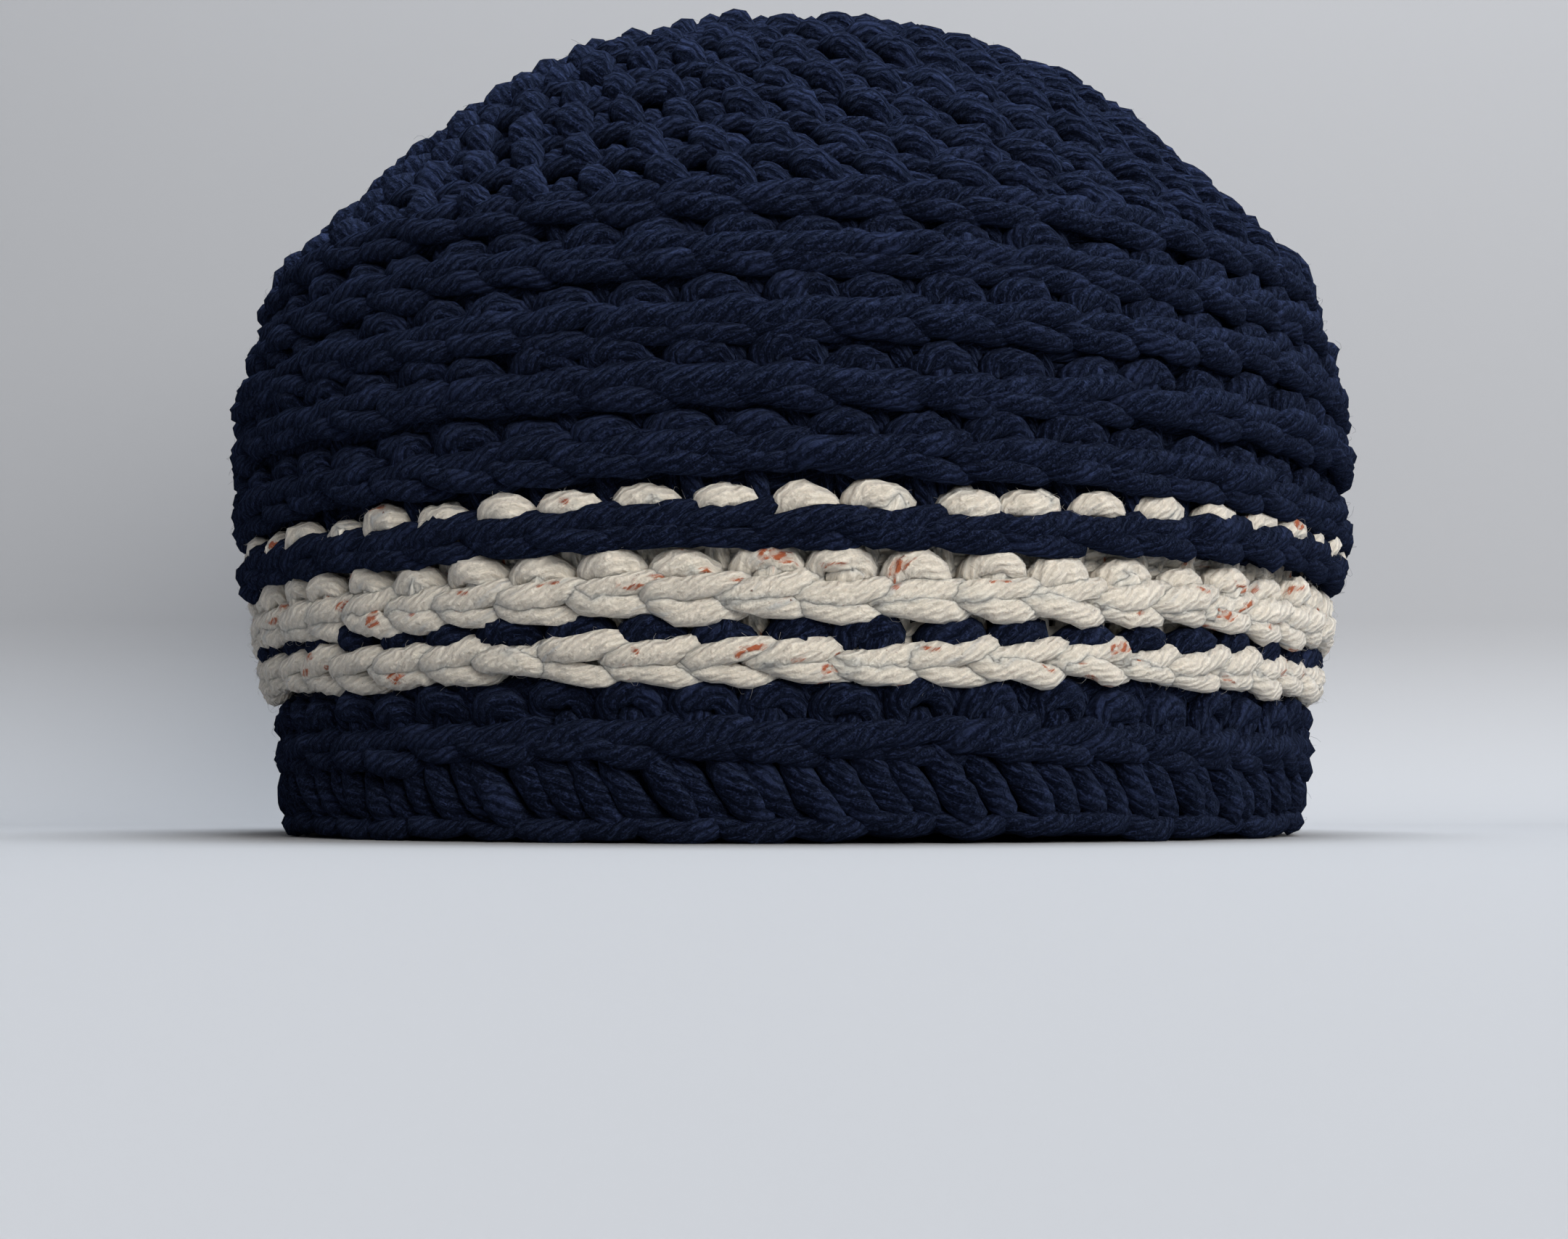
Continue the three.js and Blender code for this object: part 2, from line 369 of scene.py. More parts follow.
class Yarn:
    """Gathers swept strands and makes them into one mesh, with its two UV maps."""

    STRAND_MAP = "Strand"
    BAKE_MAP = "OFBake"

    # The lowest that yarn and the middles of loose fibres lie, and the gap left at the centre.
    FLOOR = 0.02
    FIBRE_FLOOR = 0.1
    CENTRE_GAP = 0.4

    # Loose fibres reach this far and start this deep. Some are free at the end and stay raised.
    LOOSE_REACH = (0.9, 3.0)
    LOOSE_DEPTH = 0.15
    FREE_END_RISE = 0.8
    FREE_END_SHARE = 0.4
    BRISTLE_REACH = (0.4, 1.2)
    BRISTLE_DEPTH = 0.1
    BRISTLE_SLANT = (0.2, 0.9)

    # How stitches differ, as standard deviations in their knots' units or as shares.
    ACROSS_SPREAD = 0.045
    TALL_SPREAD = 0.06
    UP_SPREAD = 0.26
    OUT_SPREAD = 0.16
    UP_BOW = 0.20
    OUT_BOW = 0.18
    WOBBLE = 0.34
    GIRTH_SPREAD = 0.06
    LUMPINESS = 0.07

    # The slow swelling along a strand: its size, and its rate across a stitch in radians.
    GIRTH_WAVE = 0.05
    GIRTH_WAVE_RATE = 4

    # A closed ring overlaps itself a little, and strands start anywhere along the yarn's length.
    RING_TURN = 2.01 * math.pi
    LONGEST_START = 400

    # Each strand has a square cell in the bake map, with its tube at the left and its end caps
    # at the right, one above the other.
    TUBE_CORNER = (0.03, 0.05)
    TUBE_SIZE = (0.80, 0.90)
    CAP_CENTRE = (0.92, 0.25)
    CAP_SIZE = (0.05, 0.2)
    CAP_STEP = 0.5

    def __init__(self, context, seed_step):
        self.cloth = measured_cloth()
        self.stitches = context.scene.beanie_stitches
        self.radius = context.scene.beanie_yarn.strand_radius
        self.rng = np.random.default_rng(self.stitches.seed + seed_step)
        self.batches = []
        self.vertices = 0
        self.strands = 0
        self.proud = []

    def lay(self, knots, places, girth=1.0, sides=8, count=11, proud=False):
        """Sweeps one strand for each stitch of a round, along the knots."""
        rows = smooth(knots, count)
        stitches = len(places.angle)
        spread = self.rng.normal(size=(6, stitches, 1))
        wobble = self.rng.normal(size=(2, stitches, count)) * self.WOBBLE
        wobble = (wobble + np.roll(wobble, 1, axis=2) + np.roll(wobble, -1, axis=2)) / 3
        swell = np.sin(np.linspace(0, math.pi, count))
        across = rows[:, 0] + spread[0] * self.ACROSS_SPREAD
        up = places.base[:, None] + rows[:, 1] * (1 + spread[1] * self.TALL_SPREAD)
        up = up + spread[2] * self.UP_SPREAD
        up = up + spread[4] * self.UP_BOW * swell + wobble[0]
        out = rows[:, 2] + spread[3] * self.OUT_SPREAD
        out = out + spread[5] * self.OUT_BOW * swell + wobble[1]
        turn = places.angle[:, None] + across * places.width
        girths = rows[:, 3] * (self.radius * girth)
        girths = girths * (1 + self.rng.normal(size=(stitches, 1)) * self.GIRTH_SPREAD)
        phase = self.rng.uniform(0, 6, (stitches, 1)) + self.GIRTH_WAVE_RATE * rows[:, 0]
        girths = girths * (1 + self.GIRTH_WAVE * np.sin(phase))
        up = np.clip(up, 0, self.cloth.length - self.CENTRE_GAP)
        centres = self.cloth.point(turn, up, out)
        normals = self.cloth.normal(turn, up)
        self.sweep(centres, normals, girths, sides, proud, lumpiness=self.LUMPINESS)

    def line(self, ups, out, girth=1.0, sides=5, count=60):
        """Lays closed rings of yarn round the hat at several heights."""
        for up in ups:
            turn = self.rng.uniform(0, 6) + np.linspace(0, self.RING_TURN, count)[None, :]
            level = np.full_like(turn, up)
            girths = np.full_like(turn, self.radius * girth)
            centres = self.cloth.point(turn, level, out)
            self.sweep(centres, self.cloth.normal(turn, level), girths, sides)

    def sweep(self, centres, normals, girths, sides, proud=False, lumpiness=0.0):
        """Adds closed tubes along rows of centres, with the first side facing out."""
        tubes, count = centres.shape[:2]
        along = np.gradient(centres, axis=1)
        along /= np.linalg.norm(along, axis=2, keepdims=True)
        facing = normals - (normals * along).sum(2, keepdims=True) * along
        facing /= np.linalg.norm(facing, axis=2, keepdims=True)
        beside = np.cross(along, facing)
        turn = np.arange(sides) * 2 * math.pi / sides
        ring = (
            np.cos(turn)[:, None] * facing[:, :, None, :]
            + np.sin(turn)[:, None] * beside[:, :, None, :]
        )
        lumps = 1 + self.rng.normal(size=(tubes, count, sides)) * lumpiness
        points = centres[:, :, None, :] + ring * (girths[:, :, None] * lumps)[..., None]
        points[..., 2] = np.maximum(points[..., 2], self.FLOOR)
        steps = np.linalg.norm(np.diff(centres, axis=1), axis=2)
        length = np.concatenate([np.zeros((tubes, 1)), np.cumsum(steps, axis=1)], axis=1)
        length += self.rng.uniform(0, self.LONGEST_START, (tubes, 1))
        self.batches.append((points, length, self.vertices, self.strands))
        if proud:
            self.proud.append(self.open_skin(points, ring, along))
        self.vertices += tubes * count * sides
        self.strands += tubes

    def open_skin(self, points, ring, along):
        """The points that face out between the ends of tubes, with the ways out and along."""
        middle = slice(2, -2)
        sides_out = [-2, -1, 0, 1, 2]
        start, outward = points[:, middle, sides_out], ring[:, middle, sides_out]
        tangent = np.broadcast_to(along[:, middle, None, :], outward.shape)
        return [rows.reshape(-1, 3) for rows in (start, outward, tangent)]

    def fibre_starts(self, sources, count):
        """Random points of the open skin, with the way out and a random way along the skin."""
        start, outward, along = (np.concatenate(rows) for rows in zip(*sources))
        pick = self.rng.integers(len(start), size=count)
        start, outward, along = start[pick], outward[pick], along[pick]
        heading = self.rng.uniform(0, 2 * math.pi, (count, 1))
        flat = np.cos(heading) * along + np.sin(heading) * np.cross(outward, along)
        return start, outward, flat

    def strew(self, sources, count, fibre_radius):
        """Adds fine loose fibres that arch up from the skin and come down or end in the air."""
        start, outward, flat = self.fibre_starts(sources, count)
        chances = (1 - self.FREE_END_SHARE, self.FREE_END_SHARE)
        reach = self.rng.uniform(*self.LOOSE_REACH, (count, 1, 1))
        arch = self.rng.uniform(0.2, 1.0, (count, 1, 1)) ** 1.6 * 0.9
        lift = self.rng.choice([0.0, self.FREE_END_RISE], (count, 1, 1), p=chances)
        bend = self.rng.normal(size=(count, 1, 3)) * 0.6
        share = np.linspace(0, 1, 4)[None, :, None]
        rise = arch * (4 * share * (1 - share) * (1 - lift) + share * lift)
        curl = bend * share * (1 - share) * 2
        root = start[:, None] - self.LOOSE_DEPTH * outward[:, None]
        centres = root + reach * share * flat[:, None]
        centres = centres + (rise * outward[:, None] + curl)
        centres[..., 2] = np.maximum(centres[..., 2], self.FIBRE_FLOOR)
        normals = np.broadcast_to(outward[:, None] + 0.01 * bend, centres.shape)
        girths = np.full(centres.shape[:2], fibre_radius) * np.linspace(1, 0.6, 4)
        self.sweep(centres, normals, girths, 3)

    def bristle(self, sources, count, fibre_radius):
        """Adds short straight fibres that stand up from the skin at a slant."""
        start, outward, flat = self.fibre_starts(sources, count)
        slant = self.rng.uniform(*self.BRISTLE_SLANT, (count, 1))
        way = np.cos(slant) * flat + np.sin(slant) * outward
        reach = self.rng.uniform(*self.BRISTLE_REACH, (count, 1))
        root = start - self.BRISTLE_DEPTH * outward
        centres = np.stack([root, root + reach * way], axis=1)
        normal = np.cos(slant) * outward - np.sin(slant) * flat
        normals = np.broadcast_to(normal[:, None], centres.shape)
        girths = np.full((count, 2), fibre_radius) * (1, 0.4)
        self.sweep(centres, normals, girths, 3)

    def corners(self):
        """Each face's vertices and the two maps' places, for all strands."""
        grid = math.ceil(math.sqrt(self.strands))
        for points, length, first_vertex, first_strand in self.batches:
            tubes, count, sides = points.shape[:3]
            tube = np.arange(tubes)[:, None, None, None]
            row = np.arange(count - 1)[None, :, None, None] + np.array([0, 0, 1, 1])
            side = np.arange(sides)[None, None, :, None] + np.array([0, 1, 1, 0])
            row, side = np.broadcast_arrays(row, side)
            vertex = first_vertex + (tube * count + row) * sides + side % sides
            strand = np.stack([length[tube, row], np.broadcast_to(side / sides, vertex.shape)], -1)
            cell = first_strand + tube
            shares = np.stack([row / (count - 1), side / sides], -1)
            place = shares * self.TUBE_SIZE + self.TUBE_CORNER
            bake = (np.stack([cell % grid, cell // grid], -1) + place) / grid
            yield vertex.reshape(-1, 4), strand.reshape(-1, 4, 2), bake.reshape(-1, 4, 2)
            yield from self.caps(points, length, first_vertex, first_strand, grid)

    def caps(self, points, length, first_vertex, first_strand, grid):
        """The faces that close both ends of each strand."""
        tubes, count, sides = points.shape[:3]
        tube = np.arange(tubes)[:, None]
        cell = first_strand + tube
        turn = np.arange(sides) * 2 * math.pi / sides
        for end, row, order in ((0, 0, slice(None, None, -1)), (1, count - 1, slice(None))):
            side = np.arange(sides)[order][None, :]
            vertex = first_vertex + (tube * count + row) * sides + side
            strand = np.stack([length[tube, row] + 0 * side, side / sides + 0 * tube], -1)
            disc = np.stack([np.cos(turn), np.sin(turn)], -1)[order] * self.CAP_SIZE
            place = disc + self.CAP_CENTRE + (0, self.CAP_STEP * end)
            bake = (np.stack([cell % grid, cell // grid], -1) + place) / grid
            yield vertex, strand, bake

    def build(self, name, material):
        """Makes the object from the strands gathered so far."""
        parts = list(self.corners())
        loops = np.concatenate([vertex.ravel() for vertex, _, _ in parts])
        sizes = np.concatenate([np.full(len(vertex), vertex.shape[1]) for vertex, _, _ in parts])
        mesh = bpy.data.meshes.new(name)
        mesh.vertices.add(self.vertices)
        mesh.loops.add(len(loops))
        mesh.polygons.add(len(sizes))
        points = np.concatenate([batch[0].reshape(-1, 3) for batch in self.batches])
        mesh.vertices.foreach_set("co", (points * MM).astype(np.float32).ravel())
        mesh.loops.foreach_set("vertex_index", loops.astype(np.int32))
        starts = np.concatenate([[0], np.cumsum(sizes)[:-1]])
        mesh.polygons.foreach_set("loop_start", starts.astype(np.int32))
        mesh.polygons.foreach_set("loop_total", sizes.astype(np.int32))
        mesh.polygons.foreach_set("use_smooth", np.ones(len(sizes), bool))
        for name_of_map, which in ((self.STRAND_MAP, 1), (self.BAKE_MAP, 2)):
            places = np.concatenate([part[which].reshape(-1, 2) for part in parts])
            layer = mesh.uv_layers.new(name=name_of_map)
            layer.uv.foreach_set("vector", places.astype(np.float32).ravel())
        mesh.update(calc_edges=True)
        mesh.validate()
        mesh.materials.append(material)
        piece = bpy.data.objects.new(name, mesh)
        bpy.context.scene.collection.objects.link(piece)
        return piece


# ---------------------------------------------------------------------------------- rounds


def wander(angle, number, size):
    """A slow rise and fall round the hat, different for each round and none at the front."""
    phase = number * WANDER_TURN
    rise = 0.0
    for waves, share, twist in WANDER_WAVES:
        start = twist * phase
        rise = rise + share * (np.sin(waves * angle + start) - math.sin(start))
    return size * rise


def nearness(angle, centre, reach):
    """How near an angle is to a centre, from 0 at the reach to 1 round the middle."""
    away = np.abs((angle - centre + math.pi) % (2 * math.pi) - math.pi)
    return np.clip(NEARNESS_RISE * np.cos(np.clip(away / reach, 0, 1) * math.pi / 2), 0, 1)


def gathering(angle):
    """How strongly the rounds draw together at an angle, from 0 to 1."""
    return nearness(angle, GATHER_CENTRE, GATHER_REACH)


def stagger(number, drift, sway, rate):
    """How many stitches further on a round starts, different for each round."""
    return drift * number + sway * math.sin(rate * number)


def round_places(yarn, number):
    """The places of a ridged round's stitches."""
    stitches = yarn.stitches
    width = 2 * math.pi / stitches.per_round
    start = stagger(number, *WALL_STAGGER) * width
    angle = start + np.arange(stitches.per_round) * width - math.pi
    calm = HEM_CALM if number == 0 else 1.0
    base = yarn.cloth.ridge(number) + wander(angle, number, stitches.unevenness * calm)
    return Places(angle, width, base + GATHER.get(number, 0) * gathering(angle))


def lay_chain(yarn, number):
    """The chain of one round, which lies outside as a ridge."""
    places = round_places(yarn, number)
    yarn.lay(CHAIN_UPPER_ARM, places, sides=9, count=14, proud=True)
    yarn.lay(CHAIN_LOWER_ARM, places, sides=9, count=13, proud=True)


def lay_posts(yarn, number, nearer=1.0):
    """The posts that hang from the ridge above, this much nearer the outside than their knots."""
    girth = POST_GIRTH + POST_GIRTH_GAIN * nearer
    yarn.lay(adjusted(POST, out=nearer), round_places(yarn, number), girth, sides=6, count=5)


def lay_peeping_loops(yarn, number, sink=0.0, fade=0.0):
    """The next round's loops, which peep out above a ridge and sink where they hide behind it."""
    places = round_places(yarn, number)
    base = places.base - sink * gathering(places.angle)
    base = base - fade * nearness(places.angle, FADE_CENTRE, FADE_REACH)
    places = places._replace(base=base)
    room = (yarn.cloth.ridge(number + 1) - yarn.cloth.ridge(number)) / ROUND_PITCH
    loops = adjusted(PEEPING_LOOP, tall=room * LOOP_STRETCH.get(number, 1.0))
    yarn.lay(loops, places, sides=9, count=14, proud=True)
    yarn.lay(LOOP_FILLING, places, sides=7, count=4)


def lay_inside(yarn, number):
    """The bars and legs that show on the inside."""
    places = round_places(yarn, number)
    yarn.lay(INSIDE_BAR, places, sides=5, count=5)
    yarn.lay(INSIDE_LEG, places, sides=5, count=4)
    yarn.lay(INSIDE_LEG, places.moved(0.45), sides=5, count=4)


def lay_core(yarn, low, high):
    """The yarn within the cloth between two heights, so that no light passes through."""
    count = max(1, round((high - low) / (CORE_SPACING * yarn.radius * CORE_GIRTH)))
    yarn.line(np.linspace(low, high, count), CORE_OUT, CORE_GIRTH, count=48)


def lay_core_between(yarn, first, last):
    """The core between two places, each a ridge's number and a distance above it."""
    low, high = (yarn.cloth.ridge(number) + above for number, above in (first, last))
    lay_core(yarn, low, high)


def lay_backing(yarn, number):
    """A ring that closes the gaps between the posts above a ridge."""
    up = yarn.cloth.ridge(number) + BACKING_UP * ROUND_PITCH
    yarn.line([up], BACKING_OUT, BACKING_GIRTH, sides=6)


def lay_navy_round(yarn, number):
    """A whole ridged round in the main yarn."""
    lay_chain(yarn, number)
    lay_posts(yarn, number)
    lay_backing(yarn, number)
    lay_peeping_loops(yarn, number)
    lay_inside(yarn, number)


def crown_places(yarn, ring):
    """The places of a plain round's stitches, of which each round has fewer."""
    stitches = yarn.stitches
    count = min(stitches.per_round, stitches.increase * (CROWN_ROUNDS - ring))
    width = 2 * math.pi / count
    angle = stagger(ring, *CROWN_STAGGER) * width + np.arange(count) * width
    size = CROWN_CALM * stitches.unevenness
    number = TOP_RIDGE + ring
    return Places(angle, width, yarn.cloth.ridge(number) + wander(angle, number, size))


def lay_crown_round(yarn, ring):
    """One plain round, counted up from the top ridge: slanting pairs of strands, then a chain."""
    low, high = yarn.cloth.ridge(TOP_RIDGE + ring), yarn.cloth.ridge(TOP_RIDGE + ring + 1)
    tall = high - low
    places = crown_places(yarn, ring)
    slant = adjusted(CROWN_SLANT, tall=tall)
    plump = min(1.0, len(places.angle) / yarn.stitches.per_round + PLUMP_GAIN)
    slant[1:-1] = adjusted(slant[1:-1], girth=plump)
    yarn.lay(slant, places, sides=9, proud=True)
    yarn.lay(adjusted(slant, **CROWN_SUNKEN), places, count=9, proud=True)
    yarn.lay(adjusted(CROWN_ARM, tall=tall), places, sides=6, count=6)
    bar = adjusted(CROWN_BAR, tall=tall)
    yarn.lay(bar, places, sides=5, count=4)
    yarn.lay(bar, places.moved(0.3, 0.45 * tall), sides=5, count=4)
    backing = [low + up * tall for up in CROWN_BACKING_UPS]
    yarn.line(backing, CROWN_BACKING_OUT, sides=6, count=48)
    lay_core(yarn, low, min(high, yarn.cloth.length - CORE_CLEARANCE))


# How each piece is laid.


def hem_stitches(yarn):
    """The last round, whose loops turn under as the hat's edge, below its slanting posts."""
    places = round_places(yarn, 0)
    yarn.lay(HEM_FRONT_LOOP, places, count=10, proud=True)
    yarn.lay(HEM_BACK_LOOP, places, count=10)
    yarn.lay(HEM_FRONT_POST, places, sides=9, proud=True)
    yarn.lay(HEM_SIDE_POST, places, sides=9, proud=True)
    lay_inside(yarn, 0)
    lay_core(yarn, 2.0, 8.0)
    lay_posts(yarn, 0)


def lower_wall_stitches(yarn):
    """The navy round between the hem and the stripes."""
    lay_navy_round(yarn, 1)
    lay_core_between(yarn, (1, -4.5), (1, 8.0))


def lower_stripe_stitches(yarn):
    """The lower oatmeal chain, with its posts behind."""
    lay_chain(yarn, 2)
    lay_posts(yarn, 2, nearer=-0.2)
    lay_inside(yarn, 2)
    lay_core_between(yarn, (2, -0.4), (2, 2.2))


def stripe_gap_loops(yarn):
    """The navy loops between the stripes."""
    lay_peeping_loops(yarn, 2)
    lay_core_between(yarn, (2, 3.4), (2, 5.4))


def upper_stripe_stitches(yarn):
    """The upper oatmeal chain and the oatmeal loops above it."""
    lay_chain(yarn, 3)
    lay_posts(yarn, 3, nearer=-0.2)
    lay_peeping_loops(yarn, 3)
    lay_inside(yarn, 3)
    lay_core_between(yarn, (3, -1.6), (3, 6.8))


def border_stitches(yarn):
    """The navy round between the upper stripe and the dashes."""
    lay_chain(yarn, 4)
    lay_posts(yarn, 4)
    lay_inside(yarn, 4)
    lay_core_between(yarn, (4, -1.2), (4, 5.4))


def dash_loops(yarn):
    """The oatmeal loops that show as dashes."""
    lay_peeping_loops(yarn, 4, sink=GATHER_SINK, fade=FADE_SINK)


def upper_wall_stitches(yarn):
    """The first navy rounds above the dashes."""
    for number in (5, 6):
        lay_navy_round(yarn, number)
    lay_core_between(yarn, (5, -2.9), (6, 5.5))


def shoulder_stitches(yarn):
    """The navy rounds where the wall turns in towards the crown."""
    for number in (7, 8):
        lay_navy_round(yarn, number)
    lay_core_between(yarn, (7, -3.6), (8, 5.5))


def crown_edge_stitches(yarn):
    """The top ridge and the plain rounds next to it."""
    lay_chain(yarn, TOP_RIDGE)
    lay_inside(yarn, TOP_RIDGE)
    for ring in range(EDGE_ROUNDS):
        lay_crown_round(yarn, ring)
    lay_core_between(yarn, (TOP_RIDGE, -3.6), (TOP_RIDGE, 0.0))


def crown_centre_stitches(yarn):
    """The plain rounds up to the crown's centre, and the rings that close it."""
    for ring in range(EDGE_ROUNDS, CROWN_ROUNDS):
        lay_crown_round(yarn, ring)
    for away, out, girth, count in CENTRE_RINGS:
        yarn.line([yarn.cloth.length - away], out, girth, sides=8, count=count)
    yarn.line(yarn.cloth.length - CENTRE_CORE, CENTRE_CORE_OUT, CORE_GIRTH, count=24)


class Piece(NamedTuple):
    """A piece of the scene: the CAD node that it stands for, its yarn and how it is laid."""

    node: str
    slot: str
    lay: Callable


# The loose fibres' own step from the first seed, past those of the pieces.
FUZZ_SEED = 100

PIECES = {
    "hem_stitches": Piece("hem_round", "navy_yarn", hem_stitches),
    "lower_wall_stitches": Piece("lower_wall", "navy_yarn", lower_wall_stitches),
    "lower_stripe_stitches": Piece("lower_stripe", "oatmeal_yarn", lower_stripe_stitches),
    "stripe_gap_loops": Piece("stripe_gap", "navy_yarn", stripe_gap_loops),
    "upper_stripe_stitches": Piece("upper_stripe", "oatmeal_yarn", upper_stripe_stitches),
    "border_stitches": Piece("border_round", "navy_yarn", border_stitches),
    "dash_loops": Piece("dash_round", "oatmeal_yarn", dash_loops),
    "upper_wall_stitches": Piece("upper_wall", "navy_yarn", upper_wall_stitches),
    "shoulder_stitches": Piece("upper_wall", "navy_yarn", shoulder_stitches),
    "crown_edge_stitches": Piece("crown", "navy_yarn", crown_edge_stitches),
    "crown_centre_stitches": Piece("crown", "navy_yarn", crown_centre_stitches),
}


def laid_yarn(context, name):
    """The strands of one piece, the same each time."""
    yarn = Yarn(context, list(PIECES).index(name))
    PIECES[name].lay(yarn)
    return yarn


def place_piece(piece, slot, nodes):
    """Gives a piece its body and hides the CAD nodes that it stands for; the slot is not used."""
    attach(piece, "root")
    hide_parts(*nodes)


def make_pieces(context, names):
    """Builds and places the named pieces."""
    for name in names:
        piece = laid_yarn(context, name).build(name, yarn_finish(PIECES[name].slot))
        place_piece(piece, PIECES[name].slot, [PIECES[name].node])


def make_fuzz(context, name, slot, loose, short):
    """Strews loose and short fibres over every piece of one yarn."""
    settings = context.scene.beanie_yarn
    names = [piece for piece, made in PIECES.items() if made.slot == slot]
    sources = [rows for piece in names for rows in laid_yarn(context, piece).proud]
    fuzz = Yarn(context, FUZZ_SEED)
    fuzz.strew(sources, loose, settings.fibre_radius)
    fuzz.bristle(sources, short, settings.fibre_radius)
    nodes = sorted({PIECES[piece].node for piece in names})
    place_piece(fuzz.build(name, fuzz_finish(name, slot)), slot, nodes)


# ------------------------------------------------------------------------------ materials


def new_node(tree, kind, inputs=None, **settings):
    """Adds a node with its settings, and links or sets the inputs that are given."""
    node = tree.nodes.new(kind)
    for name, value in settings.items():
        setattr(node, name, value)
    for name, value in (inputs or {}).items():
        if isinstance(value, bpy.types.NodeSocket):
            tree.links.new(value, node.inputs[name])
        else:
            node.inputs[name].default_value = value
    return node


def calc(tree, operation, *values):
    """A maths node's result."""
    return new_node(tree, "ShaderNodeMath", dict(enumerate(values)), operation=operation).outputs[0]


def blend_colours(tree, factor, first, second):
    """Two colours mixed by a factor."""
    inputs = {0: factor, 6: first, 7: second}
    return new_node(tree, "ShaderNodeMix", inputs, data_type="RGBA").outputs[2]


def ramp(tree, value, low, high):
    """A value spread smoothly over a range, from 0 to 1."""
    node = new_node(tree, "ShaderNodeMapRange", {
        "Value": value, "From Min": low, "From Max": high}, interpolation_type="SMOOTHSTEP")
    return node.outputs[0]


def laid_over(tree, base, colour, mask, strength=1.0):
    """A base with a colour laid over it where a mask is high."""
    return blend_colours(tree, calc(tree, "MULTIPLY", mask, strength), base, colour)


def weighted_sum(tree, pairs):
    """The sum of values, each times its weight."""
    total = 0.0
    for value, weight in pairs:
        total = calc(tree, "MULTIPLY_ADD", value, weight, total)
    return total


class Grain(NamedTuple):
    """A noise over a strand: if it follows the twist, its kind, and its stretch lengthways."""

    twisted: bool
    scale: float
    detail: float
    roughness: float
    stretch: float = 1.0
    offset: float = 0.0


# How the plies slip past each other, and the grains that the group puts out.
SLIP = Grain(False, 0.45, 3.0, 0.55)
GRAINS = {
    "Fibre": Grain(True, 4.2, 4.0, 0.75),
    "Felt": Grain(False, 3.4, 2.0, 0.70, offset=9.0),
    "Speckle": Grain(False, 1.3, 3.0, 0.65),
    "Patch": Grain(False, 0.16, 2.0, 0.50, offset=31.0),
    "Fleck": Grain(False, 0.25, 2.0, 0.50, stretch=0.60, offset=77.0),
    "Tint": Grain(True, 0.55, 2.0, 0.50, stretch=1.6, offset=131.0),
}

# Fibres lie along the twist, so the twisted skin is drawn out by this share.
TWIST_STRETCH = 0.16
PLY_SLIP = 0.20


def grain_noise(tree, skin, grain):
    """The noise of a grain at the skin's places."""
    placed = new_node(tree, "ShaderNodeMapping", {
        "Vector": skin, "Location": (grain.offset,) * 3, "Scale": (1, 1, grain.stretch)})
    node = new_node(tree, "ShaderNodeTexNoise", {
        "Vector": placed.outputs[0], "Scale": grain.scale, "Detail": grain.detail,
        "Roughness": grain.roughness})
    return node.outputs[0]


def skin_place(tree, turns, radius, length):
    """A place on the skin of a straight strand, from its turns, radius and length."""
    angle = calc(tree, "MULTIPLY", turns, 2 * math.pi)
    across = calc(tree, "MULTIPLY", calc(tree, "COSINE", angle), radius)
    ahead = calc(tree, "MULTIPLY", calc(tree, "SINE", angle), radius)
    return new_node(tree, "ShaderNodeCombineXYZ", {"X": across, "Y": ahead, "Z": length}).outputs[0]


def plied_yarn_group():
    """Twisted plies and the grains of the yarn, from a strand's own length and turn."""
    name = "Plied Yarn"
    if name in bpy.data.node_groups:
        return bpy.data.node_groups[name]
    group = bpy.data.node_groups.new(name, "ShaderNodeTree")
    for socket in ("Plies", "Lay", "Radius"):
        group.interface.new_socket(socket, in_out="INPUT", socket_type="NodeSocketFloat")
    for socket in ("Ply", *GRAINS):
        group.interface.new_socket(socket, in_out="OUTPUT", socket_type="NodeSocketFloat")
    entry = group.nodes.new("NodeGroupInput")
    leave = group.nodes.new("NodeGroupOutput")
    place = new_node(group, "ShaderNodeUVMap", uv_map=Yarn.STRAND_MAP)
    split = new_node(group, "ShaderNodeSeparateXYZ", {0: place.outputs[0]})
    length, turn = split.outputs[0], split.outputs[1]
    wound = calc(group, "ADD", turn, calc(group, "DIVIDE", length, entry.outputs["Lay"]))
    radius = entry.outputs["Radius"]
    straight = skin_place(group, turn, radius, length)
    twisted = skin_place(group, wound, radius, calc(group, "MULTIPLY", length, TWIST_STRETCH))
    slip = calc(group, "SUBTRACT", grain_noise(group, straight, SLIP), 0.5)
    uneven = calc(group, "MULTIPLY_ADD", slip, PLY_SLIP, wound)
    plies = calc(group, "MULTIPLY", entry.outputs["Plies"], 2 * math.pi)
    wave = calc(group, "COSINE", calc(group, "MULTIPLY", uneven, plies))
    group.links.new(calc(group, "MULTIPLY_ADD", wave, 0.5, 0.5), leave.inputs["Ply"])
    for socket, grain in GRAINS.items():
        value = grain_noise(group, twisted if grain.twisted else straight, grain)
        group.links.new(value, leave.inputs[socket])
    return group


class Tones(NamedTuple):
    """A yarn's colours: its own, its lighter fibres', and its shade colour, used for painted shade
    in the grooves between plies and for its darker fibres and mottling.
    """

    colour: tuple
    light: tuple
    shade: tuple


class Spin(NamedTuple):
    """How strongly a yarn's grooves get painted shade, how strongly it shows its mottling and its
    plies, and if it is a tweed.
    """

    painted_groove_shade: float
    mottle: float
    ply_relief: float
    tweed: bool


PLAIN_SPIN = Spin(painted_groove_shade=0.9, mottle=0.75, ply_relief=1.3, tweed=False)
TWEED_SPIN = Spin(painted_groove_shade=0.7, mottle=0.5, ply_relief=1.5, tweed=True)

SPUN_GREY = (0.30, 0.34, 0.37, 1)
DARK_SPECK = (0.16, 0.07, 0.045, 1)


